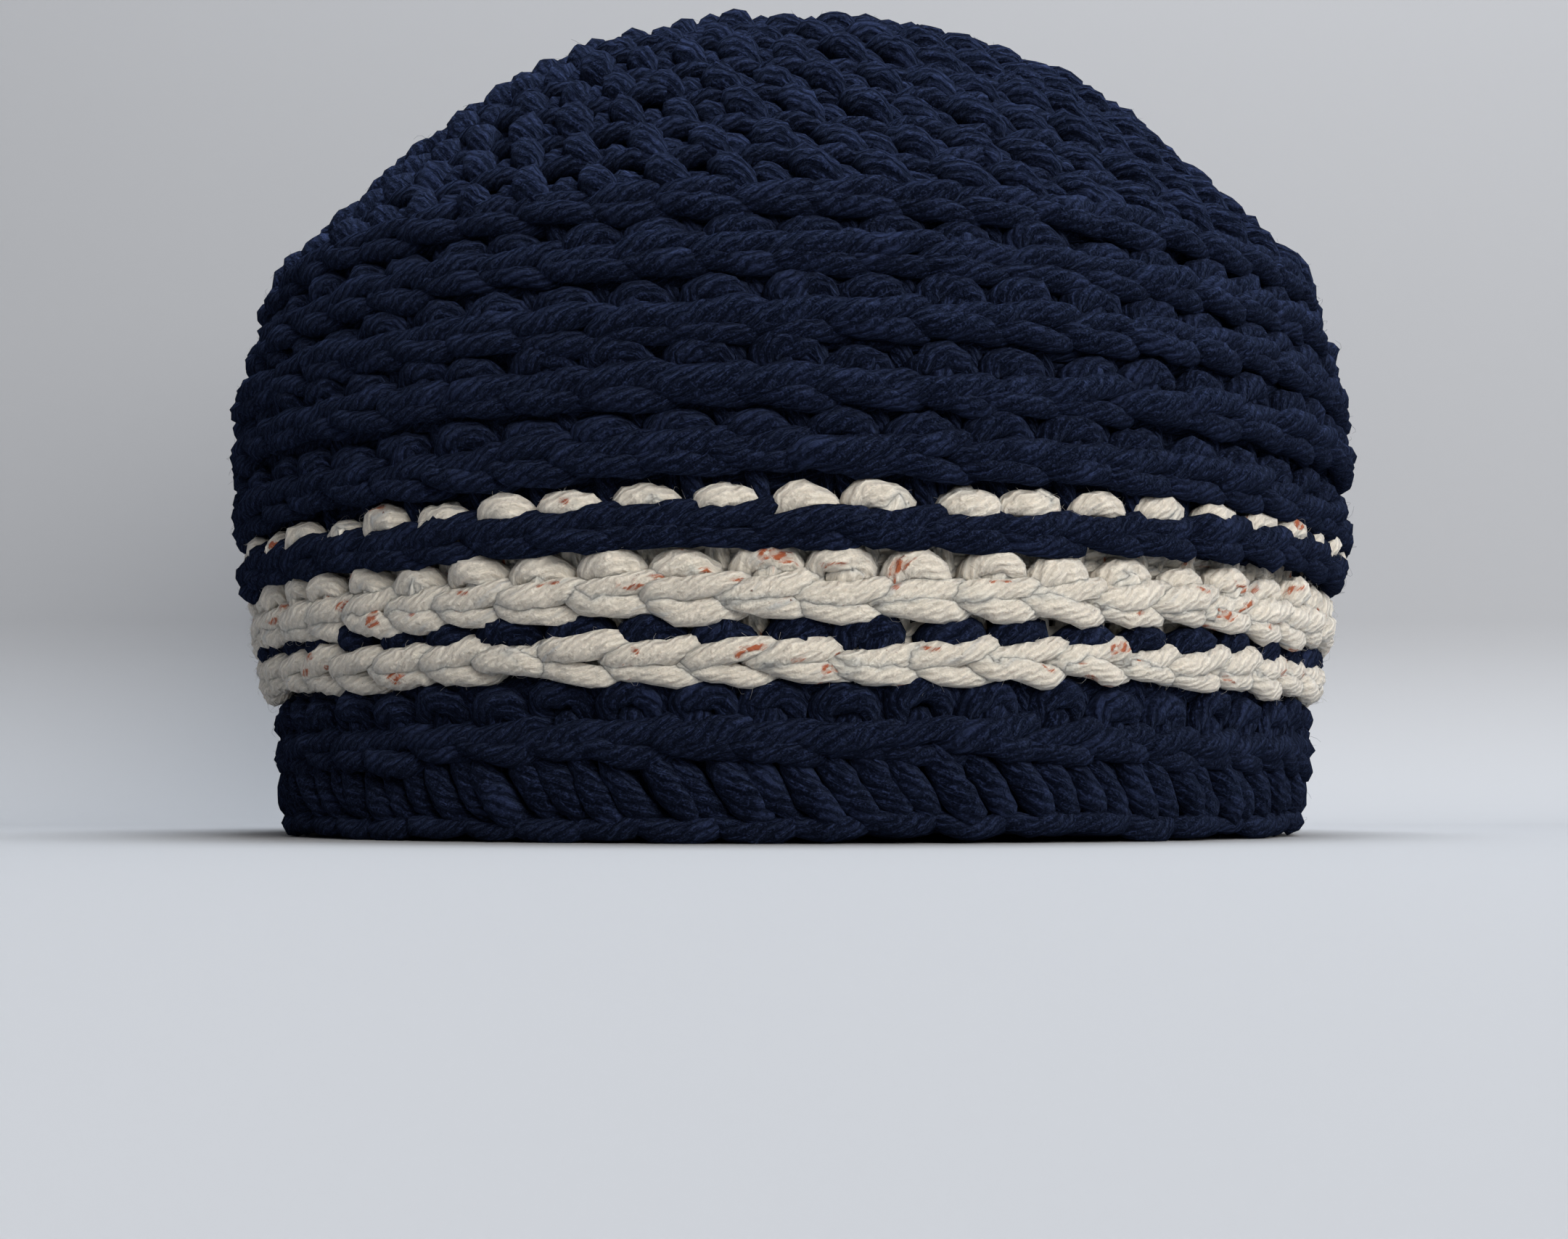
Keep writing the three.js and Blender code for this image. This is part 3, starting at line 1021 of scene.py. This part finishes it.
def yarn_colour(tree, settings, tones, spin, strand):
    """The strand's colour, with its fibres, felt, patches and flecks, and painted shade in the
    grooves between plies.
    """
    keys = ("Ply", "Fibre", "Felt", "Speckle", "Patch")
    ply, fibre, felt, speckle, patch = (strand.outputs[key] for key in keys)
    strand_colour = laid_over(tree, tones.colour, tones.shade, ramp(tree, fibre, 0.56, 0.32), 0.8)
    strand_colour = laid_over(tree, strand_colour, tones.light, ramp(tree, fibre, 0.50, 0.72))
    strand_colour = laid_over(tree, strand_colour, tones.light, ramp(tree, felt, 0.50, 0.66), 0.5)
    strand_colour = laid_over(tree, strand_colour, tones.shade, ramp(tree, felt, 0.48, 0.34), 0.7)
    strand_colour = laid_over(tree, strand_colour, tones.light, ramp(tree, patch, 0.48, 0.72), 0.4)
    if spin.tweed:
        strand_colour = tweed_flecks(tree, settings, strand_colour, strand)
    # Painted shade: the grooves between the plies are darkened towards the shade colour, broken up
    # by the speckle noise.
    painted_groove_shade = calc(tree, "MULTIPLY", ramp(tree, ply, 0.62, 0.05), spin.painted_groove_shade)
    strand_colour = laid_over(tree, strand_colour, tones.shade, painted_groove_shade, ramp(tree, speckle, 0.30, 0.54))
    dark = calc(tree, "SUBTRACT", 1.0, speckle)
    return laid_over(tree, strand_colour, tones.shade, ramp(tree, dark, 0.50, 0.66), spin.mottle)


def tweed_flecks(tree, settings, base, strand):
    """Grey patches, ragged rust flecks and dark specks that were spun into the yarn."""
    keys = ("Fibre", "Fleck", "Speckle", "Tint")
    fibre, fleck, speckle, tint = (strand.outputs[key] for key in keys)
    strand_colour = laid_over(tree, base, SPUN_GREY, ramp(tree, tint, 0.60, 0.74), 0.55)
    rust = ramp(tree, calc(tree, "MULTIPLY_ADD", fibre, 0.16, fleck), 0.718, 0.752)
    broken = ramp(tree, speckle, 0.34, 0.44)
    strand_colour = laid_over(tree, strand_colour, with_alpha(settings.fleck_colour), rust, broken)
    specks = ramp(tree, calc(tree, "MULTIPLY_ADD", tint, 0.3, speckle), 0.86, 0.92)
    return laid_over(tree, strand_colour, DARK_SPECK, specks)


def yarn_material(name, settings, tones, spin):
    """A matt, slightly fuzzy plied yarn."""
    material = bpy.data.materials.new(name)
    material.use_nodes = True
    tree = material.node_tree
    tree.nodes.clear()
    strand = new_node(tree, "ShaderNodeGroup", node_tree=plied_yarn_group())
    strand.inputs["Plies"].default_value = settings.plies
    strand.inputs["Lay"].default_value = settings.lay
    strand.inputs["Radius"].default_value = settings.strand_radius
    weights = {"Ply": spin.ply_relief, "Fibre": 1.5, "Felt": 0.5, "Speckle": 0.9}
    relief = weighted_sum(tree, [(strand.outputs[key], share) for key, share in weights.items()])
    bump = new_node(tree, "ShaderNodeBump", {
        "Height": relief, "Strength": 1.0, "Distance": settings.ply_depth * MM})
    shader = new_node(tree, "ShaderNodeBsdfPrincipled", {
        "Base Color": yarn_colour(tree, settings, tones, spin, strand),
        "Normal": bump.outputs[0],
        "Roughness": 0.95,
        "Specular IOR Level": 0.0,
        "Subsurface Weight": settings.softness if spin.tweed else 0.0,
        "Subsurface Radius": (1.0, 0.9, 0.85),
        "Subsurface Scale": 1.2 * MM,
        "Sheen Weight": settings.sheen,
        "Sheen Roughness": 0.5,
        "Sheen Tint": with_alpha(settings.sheen_colour),
    })
    output = new_node(tree, "ShaderNodeOutputMaterial")
    tree.links.new(shader.outputs[0], output.inputs["Surface"])
    return material


def with_alpha(colour, factor=1.0):
    """A colour made lighter or darker, with full alpha."""
    return (*(min(1.0, channel * factor) for channel in colour), 1.0)


# The shade colour (used for painted shade in ply grooves and for darker fibres), a lighter fibre,
# and a loose fibre's painted light and painted highlight, as shares of a yarn's colour.
NAVY_SHADE = 0.22
OATMEAL_SHADE = 0.70
OATMEAL_LIGHT = 1.04
FUZZ_PAINTED_LIGHT = 1.6
FUZZ_PAINTED_HIGHLIGHT = 7.0


def yarn_finish(slot):
    """The material of a yarn slot, made once."""
    name = slot.replace("_yarn", "_strands")
    if name in bpy.data.materials:
        return bpy.data.materials[name]
    settings = bpy.context.scene.beanie_yarn
    if slot == "navy_yarn":
        colour, light = settings.navy_colour, with_alpha(settings.navy_light)
        tones = Tones(with_alpha(colour), light, with_alpha(colour, NAVY_SHADE))
        return yarn_material(name, settings, tones, PLAIN_SPIN)
    colour = settings.oatmeal_colour
    light = with_alpha(colour, OATMEAL_LIGHT)
    tones = Tones(with_alpha(colour), light, with_alpha(colour, OATMEAL_SHADE))
    return yarn_material(name, settings, tones, TWEED_SPIN)


def fuzz_finish(name, slot):
    """The material of a yarn's loose fibres, painted lighter than the strands as painted light for
    the light that they catch.
    """
    settings = bpy.context.scene.beanie_yarn
    colour = settings.navy_colour if slot == "navy_yarn" else settings.oatmeal_colour
    # Painted light: loose fibres are painted lighter than the yarn, and their lighter fibres much
    # lighter, for the light that they catch.
    light = with_alpha(colour, FUZZ_PAINTED_HIGHLIGHT)
    tones = Tones(with_alpha(colour, FUZZ_PAINTED_LIGHT), light, with_alpha(colour))
    return yarn_material(name, settings, tones, PLAIN_SPIN)


# How far from the hat's middle the paper starts and ends to fade into the horizon's tone.
HORIZON_START = 0.7
HORIZON_END = 2.2


def paper_material(name, colour, horizon):
    """Matt studio paper, clear from behind, that fades into the horizon's tone far from the hat."""
    material = bpy.data.materials.new(name)
    material.use_nodes = True
    tree = material.node_tree
    shader = tree.nodes["Principled BSDF"]
    mottle = new_node(tree, "ShaderNodeTexNoise", {"Scale": 3.0, "Detail": 2.0}).outputs[0]
    tone = blend_colours(tree, mottle, with_alpha(colour, 0.99), with_alpha(colour, 1.01))
    tree.links.new(tone, shader.inputs["Base Color"])
    shader.inputs["Roughness"].default_value = 0.9
    shader.inputs["Specular IOR Level"].default_value = 0.1
    place = new_node(tree, "ShaderNodeNewGeometry")
    inputs = {0: place.outputs["Position"]}
    away = new_node(tree, "ShaderNodeVectorMath", inputs, operation="LENGTH").outputs["Value"]
    glow = new_node(tree, "ShaderNodeEmission", {"Color": with_alpha(horizon)})
    faded = new_node(tree, "ShaderNodeMixShader", {
        0: ramp(tree, away, HORIZON_START, HORIZON_END), 1: shader.outputs[0], 2: glow.outputs[0]})
    clear = new_node(tree, "ShaderNodeBsdfTransparent")
    mixed = new_node(tree, "ShaderNodeMixShader", {
        0: place.outputs["Backfacing"], 1: faded.outputs[0], 2: clear.outputs[0]})
    tree.links.new(mixed.outputs[0], tree.nodes["Material Output"].inputs["Surface"])
    return material


# ------------------------------------------------------------------------------- settings


class BeanieYarn(bpy.types.PropertyGroup):
    """The yarns of the hat."""

    navy_colour: FloatVectorProperty(
        name="Navy", description="Colour of the main yarn", subtype="COLOR",
        default=(0.0036, 0.0051, 0.0125), min=0, max=1)
    navy_light: FloatVectorProperty(
        name="Navy highlight", description="Colour of the lighter fibres in the main yarn",
        subtype="COLOR", default=(0.026, 0.037, 0.089), min=0, max=1)
    oatmeal_colour: FloatVectorProperty(
        name="Oatmeal", description="Colour of the stripes' yarn", subtype="COLOR",
        default=(0.73, 0.667, 0.57), min=0, max=1)
    fleck_colour: FloatVectorProperty(
        name="Fleck", description="Colour of the flecks spun into the stripes' yarn",
        subtype="COLOR", default=(0.36, 0.105, 0.045), min=0, max=1)
    softness: FloatProperty(
        name="Softness", description="How much light passes through the yarn's surface",
        default=0.65, min=0, max=1)
    sheen: FloatProperty(
        name="Sheen", description="Strength of the soft shine of loose fibres", default=0.06,
        min=0, max=1)
    sheen_colour: FloatVectorProperty(
        name="Sheen colour", description="Colour of the soft shine", subtype="COLOR",
        default=(0.37, 0.51, 1.0), min=0, max=1)
    strand_radius: FloatProperty(
        name="Strand radius", description="Half the yarn's thickness, in millimetres",
        default=1.62, min=0.5, max=4)
    fibre_radius: FloatProperty(
        name="Fibre radius", description="Half a loose fibre's thickness, in millimetres",
        default=0.023, min=0.01, max=0.2)
    plies: IntProperty(
        name="Plies", description="How many plies turn round the strand", default=8, min=2, max=12)
    lay: FloatProperty(
        name="Lay", description="Length of one full turn of a ply, in millimetres",
        default=18.0, min=4, max=60)
    ply_depth: FloatProperty(
        name="Ply depth", description="Depth of the grooves between plies, in millimetres",
        default=0.34, min=0, max=1)


class BeanieStitches(bpy.types.PropertyGroup):
    """The stitches of the hat."""

    per_round: IntProperty(
        name="Stitches a round", description="Stitches in each round of the wall",
        default=54, min=12, max=120)
    increase: IntProperty(
        name="Increase", description="Stitches that each round of the crown adds",
        default=7, min=4, max=12)
    unevenness: FloatProperty(
        name="Unevenness", description="How far a ridge wanders up and down, in millimetres",
        default=0.7, min=0, max=3)
    navy_fibres: IntProperty(
        name="Navy fibres", description="Long loose fibres on the main yarn", default=3200, min=0)
    navy_bristles: IntProperty(
        name="Navy bristles", description="Short straight fibres on the main yarn", default=9500,
        min=0)
    oatmeal_fibres: IntProperty(
        name="Oatmeal fibres", description="Long loose fibres on the stripes", default=2200, min=0)
    oatmeal_bristles: IntProperty(
        name="Oatmeal bristles", description="Short straight fibres on the stripes", default=6000,
        min=0)
    seed: IntProperty(name="Seed", description="Seed of the small differences", default=11, min=0)


class BeanieStudio(bpy.types.PropertyGroup):
    """The floor, the lights and the camera."""

    floor_colour: FloatVectorProperty(
        name="Floor", description="Colour of the floor and backdrop", subtype="COLOR",
        default=(0.302, 0.302, 0.312), min=0, max=1)
    horizon_colour: FloatVectorProperty(
        name="Horizon", description="Tone that the floor fades into far away, and of the open air",
        subtype="COLOR", default=(0.52, 0.53, 0.55), min=0, max=1)
    backdrop_distance: FloatProperty(
        name="Backdrop distance", description="From the hat's middle", default=0.17, min=0.12,
        unit="LENGTH")
    key_power: FloatProperty(
        name="Key light", description="Power of the main light", default=19.5, min=0, unit="POWER")
    top_power: FloatProperty(
        name="Top light", description="Power of the light above", default=13.0, min=0,
        unit="POWER")
    fill_power: FloatProperty(
        name="Fill light", description="Power of the weak light at the front left", default=0.2,
        min=0, unit="POWER")
    air: FloatProperty(
        name="Air", description="Strength of the light from all sides", default=0.22, min=0)
    camera_distance: FloatProperty(
        name="Camera distance", description="From the hat's middle", default=0.382, min=0.1,
        unit="LENGTH")
    camera_height: FloatProperty(
        name="Camera height", description="Above the floor", default=0.006, min=0.001,
        unit="LENGTH")
    camera_tilt: FloatProperty(
        name="Camera tilt", description="Above level", default=math.radians(4.6),
        subtype="ANGLE", unit="ROTATION")
    lens: FloatProperty(
        name="Lens", description="Focal length on a 36 mm wide sensor", default=51.0, min=10,
        unit="CAMERA")


# ------------------------------------------------------------------------------ operators


class BEANIE_OT_stage(bpy.types.Operator):
    """Sets up the floor, the lights and the camera"""

    bl_idname = "beanie.stage"
    bl_label = "Studio"

    def execute(self, context):
        studio = context.scene.beanie_studio
        make_sweep(studio)
        make_lights(studio)
        make_camera(context.scene, studio)
        return {"FINISHED"}


class BEANIE_OT_hem(bpy.types.Operator):
    """Lays the last round, which is the hat's edge"""

    bl_idname = "beanie.hem"
    bl_label = "Hem"

    def execute(self, context):
        make_pieces(context, ["hem_stitches"])
        return {"FINISHED"}


class BEANIE_OT_stripes(bpy.types.Operator):
    """Lays the oatmeal rounds and dashes with the navy loops and border between them"""

    bl_idname = "beanie.stripes"
    bl_label = "Stripes"

    def execute(self, context):
        make_pieces(context, [
            "lower_stripe_stitches", "stripe_gap_loops", "upper_stripe_stitches",
            "border_stitches", "dash_loops"])
        return {"FINISHED"}


class BEANIE_OT_wall(bpy.types.Operator):
    """Lays the navy rounds below and above the stripes"""

    bl_idname = "beanie.wall"
    bl_label = "Wall"

    def execute(self, context):
        make_pieces(context, ["lower_wall_stitches", "upper_wall_stitches", "shoulder_stitches"])
        return {"FINISHED"}


class BEANIE_OT_crown(bpy.types.Operator):
    """Lays the top ridge and the crown's plain rounds"""

    bl_idname = "beanie.crown"
    bl_label = "Crown"

    def execute(self, context):
        make_pieces(context, ["crown_edge_stitches", "crown_centre_stitches"])
        return {"FINISHED"}


class BEANIE_OT_fuzz(bpy.types.Operator):
    """Strews loose fibres over both yarns"""

    bl_idname = "beanie.fuzz"
    bl_label = "Fuzz"

    def execute(self, context):
        stitches = context.scene.beanie_stitches
        make_fuzz(
            context, "navy_fuzz", "navy_yarn", stitches.navy_fibres, stitches.navy_bristles)
        make_fuzz(
            context, "oatmeal_fuzz", "oatmeal_yarn", stitches.oatmeal_fibres,
            stitches.oatmeal_bristles)
        return {"FINISHED"}


# The paper: how far it goes on, its wall's height, and the bend between the floor and the wall.
FLOOR_REACH = 6.0
WALL_HEIGHT = 1.2
BEND_RADIUS = 0.05
BEND_STEPS = 12


def make_sweep(studio):
    """A floor that curves up into the backdrop behind the hat, and goes on flat beyond it."""
    wall = studio.backdrop_distance
    foot = wall - BEND_RADIUS
    profile = [(-FLOOR_REACH, 0.0), (0.0, 0.0), (foot, 0.0)]
    for step in range(1, BEND_STEPS + 1):
        turn = step / BEND_STEPS * math.pi / 2
        rise = BEND_RADIUS - BEND_RADIUS * math.cos(turn)
        profile.append((foot + BEND_RADIUS * math.sin(turn), rise))
    profile.append((wall, WALL_HEIGHT))
    rear = [(foot, 0.0), (FLOOR_REACH, 0.0)]
    sides = (-FLOOR_REACH, FLOOR_REACH)
    vertices = [(x, y, z + CAD_LOW.z) for y, z in profile + rear for x in sides]
    strips = [*range(len(profile) - 1), len(profile)]
    faces = [(2 * i, 2 * i + 1, 2 * i + 3, 2 * i + 2) for i in strips]
    mesh = bpy.data.meshes.new("studio_sweep")
    mesh.from_pydata(vertices, [], faces)
    mesh.polygons.foreach_set("use_smooth", [True] * len(faces))
    paper = paper_material("studio_paper", studio.floor_colour, studio.horizon_colour)
    mesh.materials.append(paper)
    sweep = bpy.data.objects.new("studio_sweep", mesh)
    bpy.context.scene.collection.objects.link(sweep)


class SoftLight(NamedTuple):
    """A square soft light: its place and its side in metres, and its colour."""

    place: tuple
    side: float
    colour: tuple


SOFT_LIGHTS = {
    "key": SoftLight((0.50, -1.08, 0.50), 0.75, (1.0, 0.985, 0.955)),
    "top": SoftLight((0.10, 0.02, 0.80), 0.5, (0.86, 0.93, 1.0)),
    "fill": SoftLight((-0.8, -0.8, 0.35), 0.8, (0.93, 0.96, 1.0)),
}
AIR_COLOUR = (0.86, 0.88, 0.92, 1)

# How far the camera stands from the hat's middle plane.
CAMERA_ASIDE = -0.0014


def add_soft_light(name, light, target, power):
    """A square soft light that points at a target."""
    data = bpy.data.lights.new(name, "AREA")
    data.size = light.side
    data.energy = power
    data.color = light.colour
    lamp = bpy.data.objects.new(name, data)
    lamp.location = light.place
    aim = Vector(target) - Vector(light.place)
    lamp.rotation_euler = aim.to_track_quat("-Z", "Y").to_euler()
    bpy.context.scene.collection.objects.link(lamp)


def make_lights(studio):
    """A key light at the front right, one above, a weak fill at the front left, and the air."""
    middle = (CAD_LOW + CAD_HIGH) / 2
    for name, light in SOFT_LIGHTS.items():
        add_soft_light(f"{name}_light", light, middle, getattr(studio, f"{name}_power"))
    make_air(studio)


def make_air(studio):
    """Soft light from all sides, with the horizon's tone where the camera sees past the paper."""
    world = bpy.data.worlds.new("studio_air")
    world.use_nodes = True
    tree = world.node_tree
    light = tree.nodes["Background"]
    light.inputs["Color"].default_value = AIR_COLOUR
    light.inputs["Strength"].default_value = studio.air
    seen = new_node(tree, "ShaderNodeBackground", {"Color": with_alpha(studio.horizon_colour)})
    camera_ray = new_node(tree, "ShaderNodeLightPath").outputs["Is Camera Ray"]
    mixed = new_node(tree, "ShaderNodeMixShader", {
        0: camera_ray, 1: light.outputs[0], 2: seen.outputs[0]})
    tree.links.new(mixed.outputs[0], tree.nodes["World Output"].inputs["Surface"])
    bpy.context.scene.world = world


def make_camera(scene, studio):
    """A camera in front of the hat, just above the floor and tilted up a little."""
    data = bpy.data.cameras.new("camera")
    data.sensor_width = 36
    data.lens = studio.lens
    data.clip_start = 0.01
    camera = bpy.data.objects.new("camera", data)
    middle = (CAD_LOW + CAD_HIGH) / 2
    ahead = middle.y - studio.camera_distance
    camera.location = (CAMERA_ASIDE, ahead, CAD_LOW.z + studio.camera_height)
    camera.rotation_euler = Euler((math.radians(90) + studio.camera_tilt, 0, 0))
    scene.collection.objects.link(camera)
    scene.camera = camera


class BEANIE_PT_panel(bpy.types.Panel):
    """Lists the hat's settings and pieces in the sidebar"""

    bl_label = "Crochet beanie"
    bl_space_type = "VIEW_3D"
    bl_region_type = "UI"
    bl_category = "Beanie"

    def draw(self, context):
        scene = context.scene
        for group in (scene.beanie_yarn, scene.beanie_stitches, scene.beanie_studio):
            box = self.layout.box()
            for name in group.__annotations__:
                box.prop(group, name)
        for operator in OPERATORS:
            self.layout.operator(operator.bl_idname)


OPERATORS = (
    BEANIE_OT_stage,
    BEANIE_OT_hem,
    BEANIE_OT_stripes,
    BEANIE_OT_wall,
    BEANIE_OT_crown,
    BEANIE_OT_fuzz,
)
CLASSES = (BeanieYarn, BeanieStitches, BeanieStudio, *OPERATORS, BEANIE_PT_panel)


def register():
    """Makes the classes and the scene's settings known."""
    for item in CLASSES:
        bpy.utils.register_class(item)
    bpy.types.Scene.beanie_yarn = PointerProperty(type=BeanieYarn)
    bpy.types.Scene.beanie_stitches = PointerProperty(type=BeanieStitches)
    bpy.types.Scene.beanie_studio = PointerProperty(type=BeanieStudio)


def unregister():
    """Takes the settings and classes out again."""
    del bpy.types.Scene.beanie_studio
    del bpy.types.Scene.beanie_stitches
    del bpy.types.Scene.beanie_yarn
    for item in reversed(CLASSES):
        bpy.utils.unregister_class(item)


def main():
    """Builds every piece and the stage in order."""
    register()
    bpy.context.scene.view_settings.view_transform = "Standard"
    for operator in OPERATORS:
        group, name = operator.bl_idname.split(".")
        getattr(getattr(bpy.ops, group), name)()


if __name__ == "__main__":
    main()
